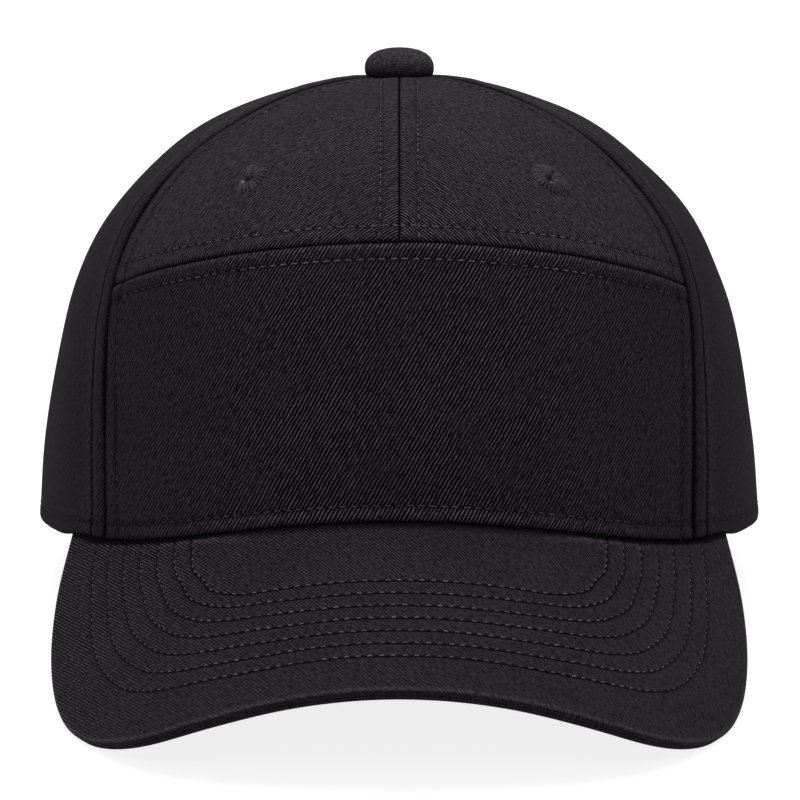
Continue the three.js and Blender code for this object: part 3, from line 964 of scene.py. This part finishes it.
# Towards the peak's sides the rows' painted shade is weaker and their thread darker.
PEAK_SIDES_FROM = 38
PEAK_SIDES_OVER = 28
ROW_SHADE_LESS_ASIDE = 0.4
THREAD_DARKER_ASIDE = 0.42
RIDGE_LIT = 0.2
RIDGE_AT = 0.85
RIDGE_WIDTH = 0.35
EDGE_LIT = 0.95
EDGE_LIT_AT = 0.6
EDGE_LIT_WIDTH = 0.5
EDGE_FACE_BELOW = 1.25
EDGE_FACE_SHADE = 0.5
# Painted shadow of the hem on the peak, and painted light just beyond it.
HEM_PAINTED_SHADOW = 0.92
HEM_PAINTED_SHADOW_WIDTH = 0.3
HEM_SIDE_PAINTED_LIGHT_WIDTH = 1.3


def even_run(line, count):
    """The line's points again, evenly spaced."""
    run = run_along(line)
    return along_line(np.linspace(0, run[-1], count), run, line)


def smooth_line(half, count):
    """Even points on the smooth line through the given points and their mirror images."""
    points = np.array([(-across, forward) for across, forward in half[:0:-1]] + list(half), float)
    points = np.concatenate([[2 * points[0] - points[1]], points, [2 * points[-1] - points[-2]]])
    dense = []
    for first in range(len(points) - 3):
        near = points[first : first + 4]
        knots = np.cumsum([0, *np.sqrt(spacings(near))])
        at = np.linspace(knots[1], knots[2], 25)[:, None]
        joined = list(near)
        for span in (1, 2, 1):
            joined = [
                joined[k] + (joined[k + 1] - joined[k]) * (at - knots[k]) / (knots[k + span] - knots[k])
                for k in range(len(joined) - 1)
            ]
            if span == 2:
                knots = knots[1:]
        dense.append(joined[0][:-1])
    return even_run(np.concatenate([*dense, points[-2:-1]]), count)


def peak_root(angle):
    """Where the peak ends, under the crown's inner face."""
    inner = crown_inside(angle, hem_level(angle, CLOTH_WALL), CLOTH_WALL)
    return np.stack(peak_place(inner[..., 0], inner[..., 1], 0), -1)


def run_to_root(row):
    """Carries a row straight on from both its ends to the root, and says at which angle it meets it."""
    angles = np.linspace(0, PEAK_ROOT_ANGLE, 601)
    root = peak_root(angles)
    ahead = unit(row[-1] - row[-3])
    gap = root - row[-1]
    beside = np.abs(gap[:, 0] * ahead[1] - gap[:, 1] * ahead[0])
    meets = np.argmin(np.where(gap @ ahead < -1, np.inf, beside))
    end = root[meets]
    carried = np.concatenate([[end * (-1, 1)], row, [end]])
    return even_run(carried, PEAK_COLUMNS), angles[meets]


outer_row = smooth_line(OUTER_ROW, PEAK_COLUMNS)
inner_row = smooth_line(INNER_ROW, PEAK_COLUMNS)
lines = [smooth_line(PEAK_OUTLINE, PEAK_COLUMNS)]
for row in range(ROW_COUNT):
    carried, meeting_angle = run_to_root(outer_row + (inner_row - outer_row) * row / (ROW_COUNT - 1))
    lines.append(carried)
root_reach = meeting_angle - 1
lines.append(even_run(peak_root(np.linspace(-root_reach, root_reach, ROW_STEPS)), PEAK_COLUMNS))
root_line = peak_root(np.linspace(-PEAK_ROOT_ANGLE, PEAK_ROOT_ANGLE, ROW_STEPS))


def root_gap(places):
    """How far places on the peak are from its root."""
    return np.linalg.norm(places[..., None, :] - root_line, axis=-1).min(-1)


def peak_fade(places):
    """0 on the peak's root, where the crown presses it flat, and 1 a little way out."""
    return smooth_step((root_gap(places) - PRESSED_WITHIN) / PRESSED_FADE)


def beside_face(places):
    """0 over the face and 1 at the peak's sides, where the rows' painted shade is weaker and their thread
    darker.
    """
    return smooth_step((np.abs(places[..., 0]) - PEAK_SIDES_FROM) / PEAK_SIDES_OVER)


edge_in, edge_lift = np.array(PEAK_EDGE).T
plan, unrolled, lifts, reliefs, shades = [], [], [], [], []
for gap in range(ROW_COUNT + 1):
    near_line, far_line = lines[gap], lines[gap + 1]
    span = np.linalg.norm(far_line - near_line, axis=1)
    near = edge_in if gap == 0 else ROW_STOPS
    far = ROW_STOPS if gap < ROW_COUNT else np.array([0, 1.5])
    share, offset = cloth_stops(near, far, 7 if gap in (0, ROW_COUNT) else 2)
    close = np.minimum(1, span / (near[-1] + far[-1] + 2))
    stops = span * share[:, None] + close * offset[:, None]
    run = np.linspace(0, PEAK_RUN, PEAK_COLUMNS)
    between_rows = 0 < gap < ROW_COUNT
    pad = PEAK_PAD if between_rows else 0
    pucker = 0.5 * unevenness(run, 0, 7, 30 + gap) + 0.5 * unevenness(run, 0, 17, 50 + gap)
    pucker = pucker * (PEAK_PUCKER if between_rows else PLAIN_PUCKER)
    for stop in range(0 if gap == 0 else 1, len(stops)):
        from_near = stops[stop]
        from_far = span - from_near
        part = (from_near / span)[:, None]
        place = near_line + (far_line - near_line) * part
        relief, shade = 0 * span, 1 + 0 * span
        for distance, stitched in ((from_near, gap > 0), (from_far, gap < ROW_COUNT)):
            if stitched:
                relief = relief - PEAK_DIP * hump(distance, PEAK_DIP_WIDTH)
                row_shade = ROW_SHADE - ROW_SHADE_LESS_ASIDE * beside_face(place)
                shade = shade * (1 - row_shade * hump(distance, ROW_SHADE_WIDTH))
        relief = relief + (pad + pucker) * np.sin(math.pi * from_near / span)
        lift = edge_lift[stop] if gap == 0 and stop < len(edge_lift) else PEAK_THICKNESS / 2
        if gap > 0:
            shade = shade * (1 + RIDGE_LIT * hump(from_near - RIDGE_AT, RIDGE_WIDTH))
        elif lift > EDGE_FACE_BELOW:
            shade = shade * (1 + EDGE_LIT * hump(from_near - EDGE_LIT_AT, EDGE_LIT_WIDTH))
        else:
            shade = shade * EDGE_FACE_SHADE
        plan.append(place)
        unrolled.append(place - unit(far_line - near_line) * (PEAK_THICKNESS / 2 - lift))
        lifts.append(lift + 0 * span)
        reliefs.append(relief)
        shades.append(shade)
rows = (plan, unrolled, lifts, reliefs, shades)
plan, unrolled, lifts, reliefs, shades = (np.array(row) for row in rows)
reliefs = reliefs * peak_fade(plan)
# Painted shadow of the front panel's hem on the peak, and painted light just beyond it, strongest in the
# middle.
past_hem = np.maximum(root_gap(plan) - CLOTH_WALL, 0)
hem_side_painted_light = fade_aside(plan[..., 0] / 70, 2.3, 2.2, 0.3, 2.3)
shades = shades * (1 - HEM_PAINTED_SHADOW * hump(past_hem, HEM_PAINTED_SHADOW_WIDTH))
shades = shades * (1 + hem_side_painted_light * hump(past_hem, HEM_SIDE_PAINTED_LIGHT_WIDTH))
top = peak_point(plan[..., 0], plan[..., 1], lifts + reliefs)
under = peak_point(plan[..., 0], plan[..., 1], -lifts - 0.6 * reliefs)
peak_flat = turned(unrolled * (1, -1), PEAK_RIB_ANGLE)
peak_twill = twill(
    "peak_twill", (0.0042, 0.0028, 0.0042), (0.05, 0.0452, 0.05), pitch=0.7, depth=0.09, clearness=1
)
peak_ribs = np.clip(0.78 - 0.01 * (plan[..., 1] + 20) - 0.003 * plan[..., 0], 0.2, 1)
peak = cloth_piece("peak_cover", top, under, peak_twill, peak_flat, shades, peak_ribs)


def peak_stitch_line(row, side):
    line = lines[row + 1]
    shown = line[root_gap(line) > 1.8]
    lift = side * (PEAK_THICKNESS / 2 - 0.7 * PEAK_DIP * peak_fade(shown))
    shown = shown - PEAK_STITCH_SHIFT * unit(shown - (0, PEAK_STITCH_CENTRE))
    points = peak_point(*shown.T, lift)
    normals = side * unit(peak_point(*shown.T, lift + 1) - points)
    return points, normals, PEAK_THREAD_TONE * (1 - THREAD_DARKER_ASIDE * beside_face(shown))


top_lines, under_lines = ([peak_stitch_line(row, side) for row in range(ROW_COUNT)] for side in (1, -1))
top_rows = sew("peak_top_stitches", top_lines, 60, PEAK_STITCH_LENGTH)
under_rows = sew("peak_under_stitches", under_lines, 61, PEAK_STITCH_LENGTH)
finish_cloth(peak, "peak")


# Button: a dome pressed over with a scrap of the same twill, whose gathered edge tucks in underneath, on a
# post that holds the seven points of the panels against a washer inside.

BUTTON_BASE = 108.3
BUTTON_SHAPE = (
    (0.05, -3), (4.4, -3), (4.5, -2.3), (1.6, -2.2), (1.5, -1), (4, -1.4),
    (7, -1.6), (8, -0.95), (8.5, 0.4), (8.4, 2), (7.8, 3.35), (6.7, 4.45), (5, 5.3),
    (2.6, 5.85), (0.05, 6),
)
BUTTON_SIDES = 144
BUTTON_GATHERS = 26
GATHER_DEPTH = 0.1
FRONT_TURN = 1.5 * math.pi
FOLD_DEPTH = 0.13
FOLD_PITCH = 0.58
FOLD_SAG = 4
FOLD_SHADE = 6.5
SHAPE_STEPS = 10

profile = []
for (radius, rise), (next_radius, next_rise) in zip(BUTTON_SHAPE, BUTTON_SHAPE[1:]):
    for part in np.linspace(0, 1, SHAPE_STEPS + 1)[:-1]:
        profile.append((radius + (next_radius - radius) * part, rise + (next_rise - rise) * part))
profile = np.array([*profile, BUTTON_SHAPE[-1]])
kernel = np.array([1, 2, 3, 4, 5, 6, 5, 4, 3, 2, 1]) / 36
dome = profile[:, 1] > -1.45
for axis in range(2):
    rounded = np.convolve(np.pad(profile[:, axis], 5, mode="edge"), kernel, mode="valid")
    profile[:, axis] = np.where(dome, rounded, profile[:, axis])
turns = full_turn(BUTTON_SIDES)
radius, rise = profile[:, :1], profile[:, 1:]
low = hump(rise + 0.7, 1.1) * (radius > 6)
gather = GATHER_DEPTH * low * unevenness(turns * BUTTON_GATHERS / (2 * math.pi), 0, 1.2, 70)
from_front = turns - FRONT_TURN
drawn = rise + FOLD_SAG * from_front**2
folded = hump(drawn - 1.4, 1.5) * hump(from_front, 0.5) * (radius > 6)
folds = FOLD_DEPTH * folded * np.sin(2 * math.pi * drawn / FOLD_PITCH)
around = np.stack([np.cos(turns), np.sin(turns)], -1)
wide = radius + gather + folds
heights = np.broadcast_to((BUTTON_BASE + rise)[..., None], (*wide.shape, 1))
points = np.concatenate([wide[..., None] * around, heights], -1)
from_pole = run_along(profile[::-1])[::-1]
flat = (from_pole[:, None, None] * around) @ np.array([[0.5, -0.87], [0.87, 0.5]])
shade = np.clip(0.3 + 0.7 * (rise + 1.3) / 3, 0.25, 1) * (1 + FOLD_SHADE * folds)
# The same twill as the crown, but paler: painted light on the top of the cap.
button_twill_painted_lighter = twill(
    "button_twill_painted_lighter", (0.006, 0.0048, 0.006), (0.09, 0.082, 0.09),
    pitch=0.42, depth=0.04, clearness=0.3,
)
button = wound_piece("button_cover", points, button_twill_painted_lighter, flat, shade, closed=False)
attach(button, "root")
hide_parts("button")


# Floor: a plain pale sheet that runs far past the cap on every side. A weak glow keeps the cap's shadow
# faint; it is weaker under the crown, where it would shine out of the eyelets.

FLOOR_REACH = 6
FLOOR_COLOUR = (0.3, 0.298, 0.3, 1)
WHITE = (1, 0.995, 1, 1)
FLOOR_GLOW = 0.84
GLOW_UNDER_CROWN = 0.2
GLOW_WEAK_WITHIN = 0.35
GLOW_FULL_FROM = 1.15
UNDER_CROWN_CENTRE = (0, 0.035, 0)
UNDER_CROWN_SIZE = (0.07, 0.085, 1)

floor_mesh = bpy.data.meshes.new("floor")
corners = FLOOR_REACH * np.array([(-1, -1, 0), (1, -1, 0), (1, 1, 0), (-1, 1, 0)])
floor_mesh.from_pydata(corners.tolist(), [], [(0, 1, 2, 3)])
floor = add_object("floor", floor_mesh)
paint = Paint("floor_paint")
place = paint.node("TexCoord", {}).outputs["Object"]
from_middle = paint.vector("SUBTRACT", place, UNDER_CROWN_CENTRE)
in_crowns = paint.vector("DIVIDE", from_middle, UNDER_CROWN_SIZE)
glow_range = {
    "Value": paint.node("VectorMath", {0: in_crowns}, operation="LENGTH").outputs["Value"],
    "From Min": GLOW_WEAK_WITHIN,
    "From Max": GLOW_FULL_FROM,
    "To Min": GLOW_UNDER_CROWN,
    "To Max": FLOOR_GLOW,
}
glow = paint.node("MapRange", glow_range).outputs["Result"]
paint.fill(paint.shader, {"Base Color": FLOOR_COLOUR, "Roughness": 0.9})
paint.fill(paint.shader, {"Emission Color": WHITE, "Emission Strength": glow})
floor_mesh.materials.append(paint.material)


# Camera: level with the photograph's, far off with a long lens, aimed at the middle of the cap.

CAMERA_DISTANCE = 1500
CAMERA_ELEVATION = math.radians(15.7)
AIM_HEIGHT = 27.8
SENSOR_WIDTH = 36
PICTURE_SIZE = 800
PIXELS_AT_UNIT_DISTANCE = 6115
CAP_CENTRE_PIXEL = 399.3

camera_data = bpy.data.cameras.new("camera")
camera_data.sensor_width = SENSOR_WIDTH
camera_data.lens = PIXELS_AT_UNIT_DISTANCE / PICTURE_SIZE * SENSOR_WIDTH
camera_data.shift_x = (PICTURE_SIZE / 2 - CAP_CENTRE_PIXEL) / PICTURE_SIZE
camera_data.clip_end = 50
camera = add_object("camera", camera_data)
aim = on_floor(np.array([0, 0, AIM_HEIGHT]))
back_off = CAMERA_DISTANCE * METRES * np.array([0, -math.cos(CAMERA_ELEVATION), math.sin(CAMERA_ELEVATION)])
camera.location = aim + back_off
camera.rotation_euler = (math.pi / 2 - CAMERA_ELEVATION, 0, 0)
scene.camera = camera


# Light: an even white surround, a large soft box overhead and a small weaker one high in front.

SURROUND_STRENGTH = 0.54

world = bpy.data.worlds.new("surround")
world.use_nodes = True
surround = world.node_tree.nodes["Background"].inputs
surround["Color"].default_value = WHITE
surround["Strength"].default_value = SURROUND_STRENGTH
scene.world = world
scene.view_settings.view_transform = "Standard"
lit_place = type(camera.location)(aim)


def soft_box(name, place, size, power):
    """A square soft box that faces the cap."""
    light = bpy.data.lights.new(name, "AREA")
    light.size = size
    light.energy = power
    lamp = add_object(name, light)
    lamp.location = place
    lamp.rotation_mode = "QUATERNION"
    lamp.rotation_quaternion = (lamp.location - lit_place).to_track_quat("Z", "Y")


soft_box("overhead_box", (0, 0.2, 1.6), size=1.4, power=22)
soft_box("front_box", (0, -1.8, 1.3), size=1.2, power=5)
